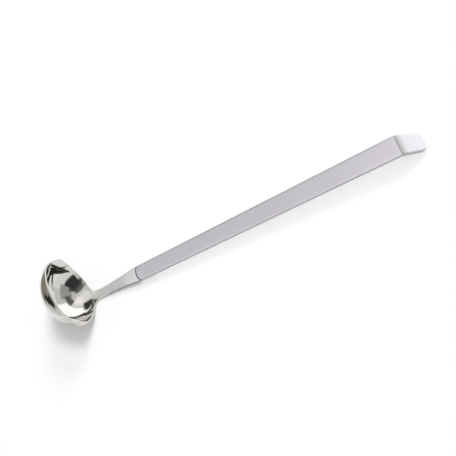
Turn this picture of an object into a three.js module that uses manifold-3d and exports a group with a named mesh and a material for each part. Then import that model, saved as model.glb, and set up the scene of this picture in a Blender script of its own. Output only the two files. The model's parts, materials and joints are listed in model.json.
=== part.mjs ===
// Sauce ladle in stainless steel, lying on a table on its bowl and on the tip of its bent end.
// A stamped oval bowl with a pour lip at each side and a flat neck are one piece. The neck's tang
// lies in a pocket under the front of a flat bar handle, and three welds hold it there.
import * as THREE from 'three';
import { mergeVertices } from 'three/addons/utils/BufferGeometryUtils.js';
import Module from 'manifold-3d';

// Bowl, outside sizes from the centre of its rim
const BOWL_TO_NECK = 22.15;
const BOWL_TO_SIDE = 25.65;
const BOWL_DEPTH = 19.3;
const BOWL_WALL = 1.2;
const BOWL_CAP_ANGLE = THREE.MathUtils.degToRad(87);
const NECK_SIDE_CAP_ANGLE = THREE.MathUtils.degToRad(66);
const NECK_SIDE_FROM = THREE.MathUtils.degToRad(20);
const NECK_SIDE_TO = THREE.MathUtils.degToRad(100);
const RIM_TO_HANDLE = THREE.MathUtils.degToRad(69.5);
const RIM_CENTRE_BEFORE_JOINT = 42.9;
const RIM_CENTRE_ABOVE_HANDLE = 19.8;

// Pour lips, one at each side of the bowl
const LIP_REACH = 2.3;
const LIP_HALF_ANGLE = THREE.MathUtils.degToRad(32);
const LIP_HEIGHT = 6.5;
const LIP_DIP = 1.75;
const FOLD_REACH = 22.8;
const FOLD_DEPTH = 2;
const FOLD_ROUND = 2.2;
const FOLD_LEAST_COSINE = 0.1;

// Flare from the rim into the neck, along the rim and along the neck
const FLARE_HALF_WIDTH = 9.5;
const FLARE_REACH = 5;

// Neck
const NECK_WAIST = 6.7;
const NECK_WAIST_BEFORE_JOINT = 29;
const NECK_RISE = BOWL_TO_NECK * Math.sin(RIM_TO_HANDLE) - RIM_CENTRE_ABOVE_HANDLE;
const NECK_LENGTH = RIM_CENTRE_BEFORE_JOINT - BOWL_TO_NECK * Math.cos(RIM_TO_HANDLE);
const NECK_END_IN_WALL = 2.2;
const NECK_THIN = 1.0;
const NECK_SWEEP = 2;
const NECK_START_PITCH = Math.atan((NECK_SWEEP * NECK_RISE) / NECK_LENGTH);
const NECK_SHOULDER_EASE = 1;

// Handle bar and its bent end
const BAR_LENGTH = 198;
const BAR_THICKNESS = 2.2;
const BAR_FRONT_WIDTH = 11.2;
const BAR_BACK_WIDTH = 16.6;
const BAR_FRONT_RADIUS = 9.2;
const HOOK_LENGTH = 18.6;
const HOOK_ANGLE = THREE.MathUtils.degToRad(26);
const HOOK_INNER_RADIUS = 1.5;
const HOOK_CORNER_RADIUS = 5;
const TIP_DRESSED = 0.06;

// Joint of neck and bar
const GAP = 0.3;
const TANG_LENGTH = 13;
const TANG_WIDTH = 6.4;
const TANG_THICKNESS = 0.9;
const TANG_ROOT = 6;
const WELD_COUNT = 3;
const WELD_SPACING = 3.6;
const WELD_FIRST = 4;
const WELD_DIAMETER = 2.2;
const WELD_HEIGHT = 0.7;

// Fineness of round stretches
const BOWL_SEGMENTS = 96;
const BOWL_RINGS = 12;
const NECK_STEPS = 12;
const ARC_SEGMENTS = 16;
const CORNER_SEGMENTS = 3;
const DISC_SEGMENTS = 48;

// Reach of the cutting prisms, closeness at which points are one, and halvings to find the pitch
const CUTTER_REACH = 400;
const SAME_POINT = 1e-4;
const PITCH_HALVINGS = 40;

const wasm = await Module();
wasm.setup();

const polished = { color: 0xc9c8c4, roughness: 0.08, metalness: 1 };
const satin = { color: 0xc3bfc3, roughness: 0.4, metalness: 1 };
const weld = { color: 0x9a948c, roughness: 0.6, metalness: 1 };

/** The triangles of an index that have three different corners. */
function wholeFaces(index) {
  const kept = [];
  for (let i = 0; i < index.length; i += 3) {
    const [a, b, c] = [index[i], index[i + 1], index[i + 2]];
    if (a !== b && b !== c && c !== a) kept.push(a, b, c);
  }
  return kept;
}

/** Turns a closed geometry into a solid that can be joined and cut. */
function solid(geometry) {
  const bare = geometry.clone();
  bare.deleteAttribute('normal');
  bare.deleteAttribute('uv');
  const merged = mergeVertices(bare, SAME_POINT);
  const vertProperties = new Float32Array(merged.attributes.position.array);
  const triVerts = new Uint32Array(wholeFaces(merged.index.array));
  return new wasm.Manifold(new wasm.Mesh({ numProp: 3, vertProperties, triVerts }));
}

/** Turns a solid back into a geometry, without the spare points that cuts leave along straight edges. */
function geometryOf(body) {
  const mesh = body.asOriginal().simplify(SAME_POINT).getMesh();
  const geometry = new THREE.BufferGeometry();
  geometry.setAttribute('position', new THREE.BufferAttribute(mesh.vertProperties, 3));
  geometry.setIndex(new THREE.BufferAttribute(mesh.triVerts, 1));
  geometry.computeVertexNormals();
  return geometry;
}

/** A plan outline (x, y) made a prism from one height to another. */
function planPrism(shape, low, high) {
  const options = { depth: high - low, bevelEnabled: false, curveSegments: ARC_SEGMENTS };
  return solid(new THREE.ExtrudeGeometry(shape, options).translate(0, 0, low));
}

/** A side outline (x, z) made a prism of a width, centred on the ladle's middle plane. */
function sidePrism(shape, width) {
  const options = { depth: width, bevelEnabled: false, curveSegments: ARC_SEGMENTS };
  const prism = new THREE.ExtrudeGeometry(shape, options);
  return solid(prism.rotateX(Math.PI / 2).translate(0, width / 2, 0));
}

/** An upright cylinder standing on a height. */
function disc(x, radius, low, high) {
  const cylinder = new THREE.CylinderGeometry(radius, radius, high - low, DISC_SEGMENTS);
  return cylinder.rotateX(Math.PI / 2).translate(x, 0, (low + high) / 2);
}

/** Line of the bowl's outside from its bottom to the rim, with a point at the height where the lips fold. */
function bowlLine() {
  const mouth = Math.cos(BOWL_CAP_ANGLE);
  const foldAngle = Math.acos(mouth + (FOLD_DEPTH / BOWL_DEPTH) * (1 - mouth));
  const angles = Array.from({ length: BOWL_RINGS + 1 }, (_, i) => (foldAngle * i) / BOWL_RINGS);
  return [...angles, BOWL_CAP_ANGLE].map((angle) => new THREE.Vector2(
    (BOWL_TO_NECK * Math.sin(angle)) / Math.sin(BOWL_CAP_ANGLE),
    (-BOWL_DEPTH * (Math.cos(angle) - mouth)) / (1 - mouth),
  ));
}

/** Radius of a cap of an angle at a share of its depth, as a share of its radius at the rim. */
function capReach(deep, angle) {
  const mouth = Math.cos(angle);
  return Math.sin(Math.acos(mouth + deep * (1 - mouth))) / Math.sin(angle);
}

/** Radius of the wall at a turn from the neck: oval, and opened wider on the side of the neck. */
function wallRadius(turned, height, turn) {
  const oval = 1 / Math.hypot(Math.cos(turn), (Math.sin(turn) * BOWL_TO_NECK) / BOWL_TO_SIDE);
  const share = THREE.MathUtils.smoothstep(Math.abs(turn), NECK_SIDE_FROM, NECK_SIDE_TO);
  const angle = THREE.MathUtils.lerp(NECK_SIDE_CAP_ANGLE, BOWL_CAP_ANGLE, share);
  const deep = THREE.MathUtils.clamp(-height / BOWL_DEPTH, 0, 1);
  const plain = capReach(deep, BOWL_CAP_ANGLE);
  return plain > 0 ? (turned * oval * capReach(deep, angle)) / plain : 0;
}

/** Radius of the wall with its lips: folded along a straight line at each side and drawn out past it. */
function lippedRadius(wall, height, turn) {
  const fromLip = Math.abs(Math.abs(turn) - Math.PI / 2);
  const edge = wall + LIP_REACH * Math.max(0, 1 - fromLip / LIP_HALF_ANGLE) ** 2;
  const fold = FOLD_REACH / Math.max(Math.cos(fromLip), FOLD_LEAST_COSINE);
  const near = THREE.MathUtils.clamp(0.5 + (fold - wall) / (2 * FOLD_ROUND), 0, 1);
  const folded = THREE.MathUtils.lerp(fold, wall, near) - FOLD_ROUND * near * (1 - near);
  return THREE.MathUtils.lerp(folded, edge, THREE.MathUtils.clamp(1 + height / FOLD_DEPTH, 0, 1));
}

/** How far the rim runs out into the neck at a distance along the rim from the middle plane. */
function flareAt(along) {
  const half = NECK_WAIST / 2;
  if (along >= FLARE_HALF_WIDTH) return 0;
  if (along <= half) return FLARE_REACH;
  const part = (FLARE_HALF_WIDTH - along) / (FLARE_HALF_WIDTH - half);
  return FLARE_REACH * (1 - Math.sqrt(1 - part * part));
}

/** A sheet given its wall on the inner side and closed along its edge. */
function thickened(sheet) {
  const { position, normal } = sheet.attributes;
  const index = sheet.index.array;
  const inner = position.count;
  const points = new Float32Array(6 * inner);
  for (let i = 0; i < inner; i += 1) {
    const outside = new THREE.Vector3().fromBufferAttribute(position, i);
    const inward = new THREE.Vector3().fromBufferAttribute(normal, i).multiplyScalar(-BOWL_WALL);
    outside.toArray(points, 3 * i);
    outside.add(inward).toArray(points, 3 * (inner + i));
  }
  const faces = [];
  const open = new Map();
  for (let i = 0; i < index.length; i += 3) {
    const [a, b, c] = [index[i], index[i + 1], index[i + 2]];
    faces.push(a, b, c, inner + c, inner + b, inner + a);
    for (const [from, to] of [[a, b], [b, c], [c, a]]) {
      if (!open.delete(`${to} ${from}`)) open.set(`${from} ${to}`, [from, to]);
    }
  }
  for (const [from, to] of open.values()) faces.push(to, from, inner + from, to, inner + from, inner + to);
  const closed = new THREE.BufferGeometry();
  closed.setAttribute('position', new THREE.BufferAttribute(points, 3));
  closed.setIndex(faces);
  return closed;
}

/** The bowl: a turned sheet made oval, with its two lips drawn out and its rim flared to the neck. */
function bowl() {
  const turnedSheet = new THREE.LatheGeometry(bowlLine(), BOWL_SEGMENTS);
  turnedSheet.deleteAttribute('normal');
  turnedSheet.deleteAttribute('uv');
  const sheet = mergeVertices(turnedSheet, SAME_POINT);
  const place = sheet.attributes.position;
  const alongNeck = RIM_TO_HANDLE + NECK_START_PITCH;
  for (let i = 0; i < place.count; i += 1) {
    const turn = Math.atan2(place.getX(i), place.getZ(i));
    const height = place.getY(i);
    const wall = wallRadius(Math.hypot(place.getX(i), place.getZ(i)), height, turn);
    const lift = THREE.MathUtils.clamp(1 + height / LIP_HEIGHT, 0, 1);
    const flare = height >= 0 ? flareAt(Math.abs(turn) * BOWL_TO_NECK) : 0;
    const radius = lippedRadius(wall, height, turn) + flare * Math.cos(alongNeck);
    const rise = height - LIP_DIP * lift * Math.sin(turn) ** 2 + flare * Math.sin(alongNeck);
    place.setXYZ(i, radius * Math.sin(turn), rise, radius * Math.cos(turn));
  }
  sheet.setIndex(wholeFaces(sheet.index.array));
  sheet.computeVertexNormals();
  const toNeck = new THREE.Vector3(Math.cos(RIM_TO_HANDLE), 0, -Math.sin(RIM_TO_HANDLE));
  const axis = new THREE.Vector3(Math.sin(RIM_TO_HANDLE), 0, Math.cos(RIM_TO_HANDLE));
  const seat = new THREE.Matrix4().makeBasis(new THREE.Vector3(0, 1, 0), axis, toNeck);
  seat.setPosition(-RIM_CENTRE_BEFORE_JOINT, 0, RIM_CENTRE_ABOVE_HANDLE);
  return solid(thickened(sheet).applyMatrix4(seat));
}

/** The neck: a strip that rises gently to the joint, waisted in plan, hollow-ended round the bar. */
function neck() {
  const shoulder = BAR_FRONT_RADIUS - Math.sqrt(BAR_FRONT_RADIUS ** 2 - BAR_FRONT_WIDTH ** 2 / 4);
  const start = -NECK_LENGTH - NECK_END_IN_WALL;
  const side = new THREE.Shape();
  const under = (x) => -NECK_RISE * THREE.MathUtils.clamp(-x / NECK_LENGTH, 0, 1) ** NECK_SWEEP;
  const stations = Array.from({ length: NECK_STEPS + 1 }, (_, i) => start * (1 - i / NECK_STEPS));
  side.moveTo(start, under(start));
  for (const x of stations.slice(1)) side.lineTo(x, under(x));
  side.lineTo(shoulder, 0);
  side.lineTo(shoulder, BAR_THICKNESS);
  for (const x of stations.reverse()) {
    const grown = THREE.MathUtils.smoothstep(x, start, 0);
    side.lineTo(x, under(x) + THREE.MathUtils.lerp(NECK_THIN, BAR_THICKNESS, grown));
  }
  const half = NECK_WAIST / 2;
  const back = BAR_FRONT_WIDTH / 2;
  const eased = back - NECK_SHOULDER_EASE;
  const waist = -NECK_WAIST_BEFORE_JOINT;
  const plan = new THREE.Shape();
  plan.moveTo(start, -half);
  plan.lineTo(waist, -half);
  plan.bezierCurveTo(waist / 2, -half, -back, -eased, shoulder, -back);
  plan.lineTo(shoulder, back);
  plan.bezierCurveTo(-back, eased, waist / 2, half, waist, half);
  plan.lineTo(start, half);
  const strip = sidePrism(side, 2 * BAR_FRONT_WIDTH);
  const barNose = disc(BAR_FRONT_RADIUS, BAR_FRONT_RADIUS + GAP, -BAR_THICKNESS, 2 * BAR_THICKNESS);
  return strip.intersect(planPrism(plan, -BAR_THICKNESS, 2 * BAR_THICKNESS)).subtract(solid(barNose));
}

/** Plan outline of the tang, round at its end, grown by a clearance. */
function tangOutline(clearance) {
  const half = TANG_WIDTH / 2 + clearance;
  const outline = new THREE.Shape();
  outline.moveTo(-TANG_ROOT, -half);
  outline.lineTo(TANG_LENGTH - TANG_WIDTH / 2, -half);
  outline.absarc(TANG_LENGTH - TANG_WIDTH / 2, 0, half, -Math.PI / 2, Math.PI / 2, false);
  outline.lineTo(-TANG_ROOT, half);
  return outline;
}

/** Side outline of the bar: straight, then bent down, and left a little long to be trimmed. */
function barSide() {
  const bendStart = BAR_LENGTH - HOOK_INNER_RADIUS * Math.tan(HOOK_ANGLE / 2);
  const tip = new THREE.Vector2(BAR_LENGTH, 0);
  const along = new THREE.Vector2(Math.cos(HOOK_ANGLE), -Math.sin(HOOK_ANGLE));
  const across = new THREE.Vector2(Math.sin(HOOK_ANGLE), Math.cos(HOOK_ANGLE));
  tip.addScaledVector(along, HOOK_LENGTH + BAR_THICKNESS);
  const top = tip.clone().addScaledVector(across, BAR_THICKNESS);
  const upright = Math.PI / 2;
  const outer = HOOK_INNER_RADIUS + BAR_THICKNESS;
  const outline = new THREE.Shape();
  outline.moveTo(0, 0);
  outline.lineTo(bendStart, 0);
  outline.absarc(bendStart, -HOOK_INNER_RADIUS, HOOK_INNER_RADIUS, upright, upright - HOOK_ANGLE, true);
  outline.lineTo(tip.x, tip.y);
  outline.lineTo(top.x, top.y);
  outline.absarc(bendStart, -HOOK_INNER_RADIUS, outer, upright - HOOK_ANGLE, upright, false);
  outline.lineTo(0, BAR_THICKNESS);
  return outline;
}

/** Plan outline of the bar: round nose, straight taper, then parallel past the bend. */
function barPlan() {
  const front = BAR_FRONT_WIDTH / 2;
  const back = BAR_BACK_WIDTH / 2;
  const nose = Math.asin(front / BAR_FRONT_RADIUS);
  const outline = new THREE.Shape();
  outline.absarc(BAR_FRONT_RADIUS, 0, BAR_FRONT_RADIUS, Math.PI - nose, Math.PI + nose, false);
  outline.lineTo(BAR_LENGTH, -back);
  outline.lineTo(BAR_LENGTH + 2 * HOOK_LENGTH, -back);
  outline.lineTo(BAR_LENGTH + 2 * HOOK_LENGTH, back);
  outline.lineTo(BAR_LENGTH, back);
  return outline;
}

/** A long prism square to the bent end, which trims it and rounds its two corners. */
function hookEnd() {
  const half = BAR_BACK_WIDTH / 2;
  const round = HOOK_CORNER_RADIUS;
  const outline = new THREE.Shape();
  outline.moveTo(-CUTTER_REACH, -half);
  outline.lineTo(HOOK_LENGTH - round, -half);
  outline.absarc(HOOK_LENGTH - round, -half + round, round, -Math.PI / 2, 0, false);
  outline.absarc(HOOK_LENGTH - round, half - round, round, 0, Math.PI / 2, false);
  outline.lineTo(-CUTTER_REACH, half);
  const options = { depth: 2 * CUTTER_REACH, bevelEnabled: false, curveSegments: CORNER_SEGMENTS };
  const prism = new THREE.ExtrudeGeometry(outline, options).translate(0, 0, -CUTTER_REACH);
  return solid(prism.rotateY(HOOK_ANGLE).translate(BAR_LENGTH, 0, 0));
}

const weldPlaces = Array.from({ length: WELD_COUNT }, (_, i) => WELD_FIRST + i * WELD_SPACING);
const weldMiddle = TANG_THICKNESS + GAP / 2;

/** Room for the welds, half in the tang and half in the bar. */
function withoutWelds(body) {
  const half = WELD_HEIGHT / 2 + GAP;
  return weldPlaces.reduce((left, x) => left.subtract(
    solid(disc(x, WELD_DIAMETER / 2 + GAP, weldMiddle - half, weldMiddle + half)),
  ), body);
}

/** The stamping: bowl, neck and tang. */
function bowlAndNeck() {
  const tang = planPrism(tangOutline(0), 0, TANG_THICKNESS);
  return geometryOf(withoutWelds(bowl().add(neck()).add(tang)));
}

/** The bar handle with the tang's pocket in its underside. */
function handleBar() {
  const bar = sidePrism(barSide(), 2 * BAR_BACK_WIDTH);
  const shaped = bar.intersect(planPrism(barPlan(), -CUTTER_REACH, CUTTER_REACH)).intersect(hookEnd());
  const pocket = planPrism(tangOutline(GAP), -BAR_THICKNESS, TANG_THICKNESS + GAP);
  return withoutWelds(shaped.subtract(pocket));
}

/** Lowest height of a shape when the ladle is pitched up at its hook by an angle. */
function lowest(shape, pitch) {
  const place = shape.attributes.position;
  let low = Infinity;
  for (let i = 0; i < place.count; i += 1) {
    low = Math.min(low, place.getX(i) * Math.sin(pitch) + place.getZ(i) * Math.cos(pitch));
  }
  return low;
}

/** The pitch at which bowl and hook tip touch the table together, found by halving. */
function restPitch(front, back) {
  let flat = 0;
  let steep = HOOK_ANGLE;
  for (let i = 0; i < PITCH_HALVINGS; i += 1) {
    const pitch = (flat + steep) / 2;
    if (lowest(front, pitch) < lowest(back, pitch)) steep = pitch;
    else flat = pitch;
  }
  return (flat + steep) / 2;
}

/** Takes off the sharp edge under the bar's tip, level with the table, so that it stands on a narrow flat. */
function dressTip(bar, pitch) {
  const height = lowest(geometryOf(bar), pitch) + TIP_DRESSED;
  return bar.trimByPlane([Math.sin(pitch), 0, Math.cos(pitch)], height);
}

/** One named piece with its own finish. */
function piece(name, geometry, finish) {
  const mesh = new THREE.Mesh(geometry, new THREE.MeshStandardMaterial(finish));
  mesh.name = name;
  return mesh;
}

const stamping = bowlAndNeck();
const sharpBar = handleBar();
const bar = geometryOf(dressTip(sharpBar, restPitch(stamping, geometryOf(sharpBar))));
const laid = new THREE.Group();
laid.add(piece('bowl_and_neck', stamping, polished), piece('handle_bar', bar, satin));
weldPlaces.forEach((x, i) => {
  const half = WELD_HEIGHT / 2;
  const nugget = disc(x, WELD_DIAMETER / 2, weldMiddle - half, weldMiddle + half);
  laid.add(piece(`tang_weld_${i + 1}`, nugget, weld));
});
laid.rotation.y = -restPitch(stamping, bar);

const ladle = new THREE.Group();
ladle.add(laid);
ladle.updateMatrixWorld(true);
const box = new THREE.Box3().setFromObject(laid, true);
laid.position.set(-(box.min.x + box.max.x) / 2, 0, -box.min.z);

export default ladle;
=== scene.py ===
"""Looks of a small stainless sauce ladle that lies on a pale table.

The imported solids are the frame. Two pieces are modelled here in place of theirs: the stamping, which is
bowl, pour lips, neck and tang in one sheet, and the flat bar handle with its bent end. The welds inside
the joint keep their solids and get a finish. Classes hold sizes in millimetres, measured from the joint:
x runs along the handle, y across it and z up from its underside. The scene is in metres.
"""

import json
import logging
import math
from dataclasses import dataclass
from enum import Enum

import bmesh
import bpy
from mathutils import Matrix, Vector
from mathutils.geometry import interpolate_bezier


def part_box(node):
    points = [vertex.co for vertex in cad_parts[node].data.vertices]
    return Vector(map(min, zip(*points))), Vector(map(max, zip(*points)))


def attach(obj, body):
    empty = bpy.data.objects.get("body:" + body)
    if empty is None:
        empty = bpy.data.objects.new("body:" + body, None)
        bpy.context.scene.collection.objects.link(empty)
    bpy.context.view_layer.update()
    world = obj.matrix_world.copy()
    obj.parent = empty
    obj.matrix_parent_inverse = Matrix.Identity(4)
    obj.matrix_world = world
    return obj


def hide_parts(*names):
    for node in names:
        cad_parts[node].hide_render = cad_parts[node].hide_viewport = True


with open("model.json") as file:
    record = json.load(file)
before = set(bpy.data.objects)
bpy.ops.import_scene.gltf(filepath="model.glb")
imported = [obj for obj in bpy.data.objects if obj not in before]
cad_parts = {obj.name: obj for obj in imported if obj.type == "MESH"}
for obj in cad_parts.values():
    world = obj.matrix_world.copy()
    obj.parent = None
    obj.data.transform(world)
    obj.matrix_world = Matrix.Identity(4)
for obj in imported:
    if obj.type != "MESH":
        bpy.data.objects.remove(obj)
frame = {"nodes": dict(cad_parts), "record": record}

MM = 0.001
# Tolerances in millimetres
SAME_POINT = 1e-4
ON_PLANE = 1e-5
# Angles between faces: shaded as one surface up to the first, rounded from the second
SMOOTH_UP_TO = math.radians(38)
SHARP_FROM = math.radians(45)
# Range in which most of a noise lies
NOISE_LOW, NOISE_HIGH = 0.3, 0.7
# Settings that many nodes share
EASED = {"interpolation_type": "SMOOTHSTEP"}
VALUES = {"data_type": "FLOAT"}
COLOURS = {"data_type": "RGBA"}
LOG = logging.getLogger("sauce_ladle")


class Slot(Enum):
    """Material slots of the record."""

    POLISHED = "polished_steel"
    SATIN = "satin_steel"
    WELD = "weld_metal"


def linear(colour: str) -> tuple[float, float, float, float]:
    """Turns an sRGB hex colour into linear light.

    Args:
        colour: six hex digits after a hash sign.

    Returns:
        Red, green, blue and a full alpha.
    """
    shares = [int(colour[i : i + 2], 16) / 255 for i in (1, 3, 5)]
    red, green, blue = (s / 12.92 if s <= 0.04045 else ((s + 0.055) / 1.055) ** 2.4 for s in shares)
    return red, green, blue, 1.0


def add_node(tree: bpy.types.NodeTree, kind: str, settings: dict | None = None, **inputs) -> bpy.types.Node:
    """Adds one node with its settings, socket values and links.

    Args:
        tree: the tree that gets the node.
        kind: the node's class, without the ShaderNode before it.
        settings: the node's own properties by name.
        inputs: a value, or another node's output, for each socket. A socket's name has _ for a space,
            and a socket that shares its name is given as at_ and its number.

    Returns:
        The new node.
    """
    node = tree.nodes.new("ShaderNode" + kind)
    for name, value in (settings or {}).items():
        setattr(node, name, value)
    for name, value in inputs.items():
        key = int(name[3:]) if name.startswith("at_") else name.replace("_", " ")
        socket = node.inputs[key]
        if isinstance(value, bpy.types.NodeSocket):
            tree.links.new(value, socket)
        else:
            socket.default_value = value
    return node


def new_finish(name: str, metallic: float) -> tuple[bpy.types.Material, bpy.types.NodeTree, bpy.types.Node]:
    """Starts a material.

    Args:
        name: what the material is and how its surface was made.
        metallic: 1 for a metal, 0 for anything else.

    Returns:
        The material, its tree and its shader.
    """
    made = bpy.data.materials.new(name)
    made.use_nodes = True
    shader = made.node_tree.nodes["Principled BSDF"]
    shader.inputs["Metallic"].default_value = metallic
    return made, made.node_tree, shader


def smooth_step(value: float, low: float, high: float) -> float:
    """Eases from 0 at low to 1 at high."""
    share = min(max((value - low) / (high - low), 0.0), 1.0)
    return share * share * (3 - 2 * share)


def rest_place(record: dict) -> Matrix:
    """Finds how the ladle lies from the mount under its handle.

    Args:
        record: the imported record.

    Returns:
        The matrix from millimetres at the joint to metres in the frame.
    """
    mount_before_bend = 100.0
    mount = next(m for m in record["mounts"] if m["name"] == "handle_underside")
    down = Vector(mount["axis"])
    turn = Matrix.Rotation(-math.atan2(down.x, -down.z), 4, "Y")
    under = turn @ Vector((mount_before_bend * MM, 0, 0))
    return Matrix.Translation(Vector(mount["pos_m"]) - under) @ turn @ Matrix.Scale(MM, 4)


def new_piece(bm: bmesh.types.BMesh, name: str, place: Matrix) -> bpy.types.Object:
    """Makes an object at the origin from a mesh that is put in its place.

    Args:
        bm: the mesh in millimetres, which is freed.
        name: the object's name.
        place: the matrix from the mesh's own space to the frame.

    Returns:
        The linked object, smooth apart from its sharp edges.
    """
    bmesh.ops.transform(bm, matrix=place, verts=bm.verts)
    bmesh.ops.recalc_face_normals(bm, faces=bm.faces)
    mesh = bpy.data.meshes.new(name)
    bm.to_mesh(mesh)
    bm.free()
    mesh.shade_smooth()
    mesh.set_sharp_from_angle(angle=SMOOTH_UP_TO)
    made = bpy.data.objects.new(name, mesh)
    bpy.context.scene.collection.objects.link(made)
    return made


def carve(piece: bpy.types.Object, cutter: bpy.types.Object) -> None:
    """Cuts a shape out of a piece for good, and removes the cutter.

    Args:
        piece: the object that is cut.
        cutter: a closed mesh, which is deleted.
    """
    cut = piece.modifiers.new("cut", "BOOLEAN")
    cut.operation = "DIFFERENCE"
    cut.solver = "EXACT"
    cut.object = cutter
    seen = piece.evaluated_get(bpy.context.evaluated_depsgraph_get())
    whole = piece.data
    piece.data = bpy.data.meshes.new_from_object(seen)
    piece.data.name = piece.name
    piece.modifiers.clear()
    bpy.data.meshes.remove(whole)
    bpy.data.objects.remove(cutter)


def sharp_edges(bm: bmesh.types.BMesh) -> list[bmesh.types.BMEdge]:
    """Lists the edges whose two faces meet at a sharp angle."""
    bm.normal_update()
    return [e for e in bm.edges if len(e.link_faces) == 2 and e.calc_face_angle() > SHARP_FROM]


def round_edges(bm: bmesh.types.BMesh, edges: list[bmesh.types.BMEdge], radius: float) -> None:
    """Rounds edges as a tumbled or linished edge is."""
    bmesh.ops.bevel(
        bm,
        geom=edges,
        offset=radius,
        affect="EDGES",
        segments=3,
        profile=0.5,
        material=-1,
        clamp_overlap=True,
    )


@dataclass(frozen=True)
class Joint:
    """The seam of neck and bar, and the tang under it. Sizes in millimetres."""

    nose_radius: float = 9.2
    width: float = 11.2
    gap: float = 0.3
    tang_length: float = 13.0
    tang_width: float = 6.4
    tang_thickness: float = 0.9
    tang_root: float = 6.0
    pocket_segments: int = 64
    weld_segments: int = 48

    def seam(self, y: float, gap: float) -> float:
        """Gives x of the seam's arc at y, set back by a gap."""
        return self.nose_radius - math.sqrt((self.nose_radius + gap) ** 2 - y * y)

    def tang_end(self, y: float) -> float:
        """Gives x of the tang's round end at y."""
        half = self.tang_width / 2
        return self.tang_length - half + math.sqrt(max(half * half - y * y, 0.0))

    def pocket(self, place: Matrix) -> bpy.types.Object:
        """Makes the cutter for the tang's pocket under the bar.

        Args:
            place: the matrix from millimetres to the frame.

        Returns:
            A long rounded block that reaches out under the bar.
        """
        bm = bmesh.new()
        half = self.tang_width / 2 + self.gap
        low, high = -self.tang_thickness, self.tang_thickness + self.gap
        bmesh.ops.create_circle(bm, cap_ends=True, segments=self.pocket_segments, radius=half)
        bmesh.ops.translate(bm, vec=(self.tang_length - half + self.gap, 0, low), verts=bm.verts)
        middle = self.tang_length - half
        for vert in bm.verts:
            if vert.co.x < middle:
                vert.co.x = -self.tang_root
        up = bmesh.ops.extrude_face_region(bm, geom=bm.faces[:])["geom"]
        raised = [v for v in up if isinstance(v, bmesh.types.BMVert)]
        bmesh.ops.translate(bm, vec=(0, 0, high - low), verts=raised)
        return new_piece(bm, "pocket_cutter", place)

    def weld_rooms(self) -> bpy.types.Object:
        """Makes the cutter for the room round the welds, from the boxes of their solids.

        Returns:
            Separate upright discs, a gap larger than each weld.
        """
        bm = bmesh.new()
        for node in sorted(n for n in frame["nodes"] if n.startswith("tang_weld")):
            low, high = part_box(node)
            size = (high - low) / MM
            disc = bmesh.ops.create_cone(
                bm,
                cap_ends=True,
                segments=self.weld_segments,
                radius1=size.y / 2 + self.gap,
                radius2=size.y / 2 + self.gap,
                depth=size.z + self.gap,
            )
            bmesh.ops.translate(bm, vec=(low + high) / (2 * MM), verts=disc["verts"])
        return new_piece(bm, "weld_room_cutter", Matrix.Scale(MM, 4))


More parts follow.
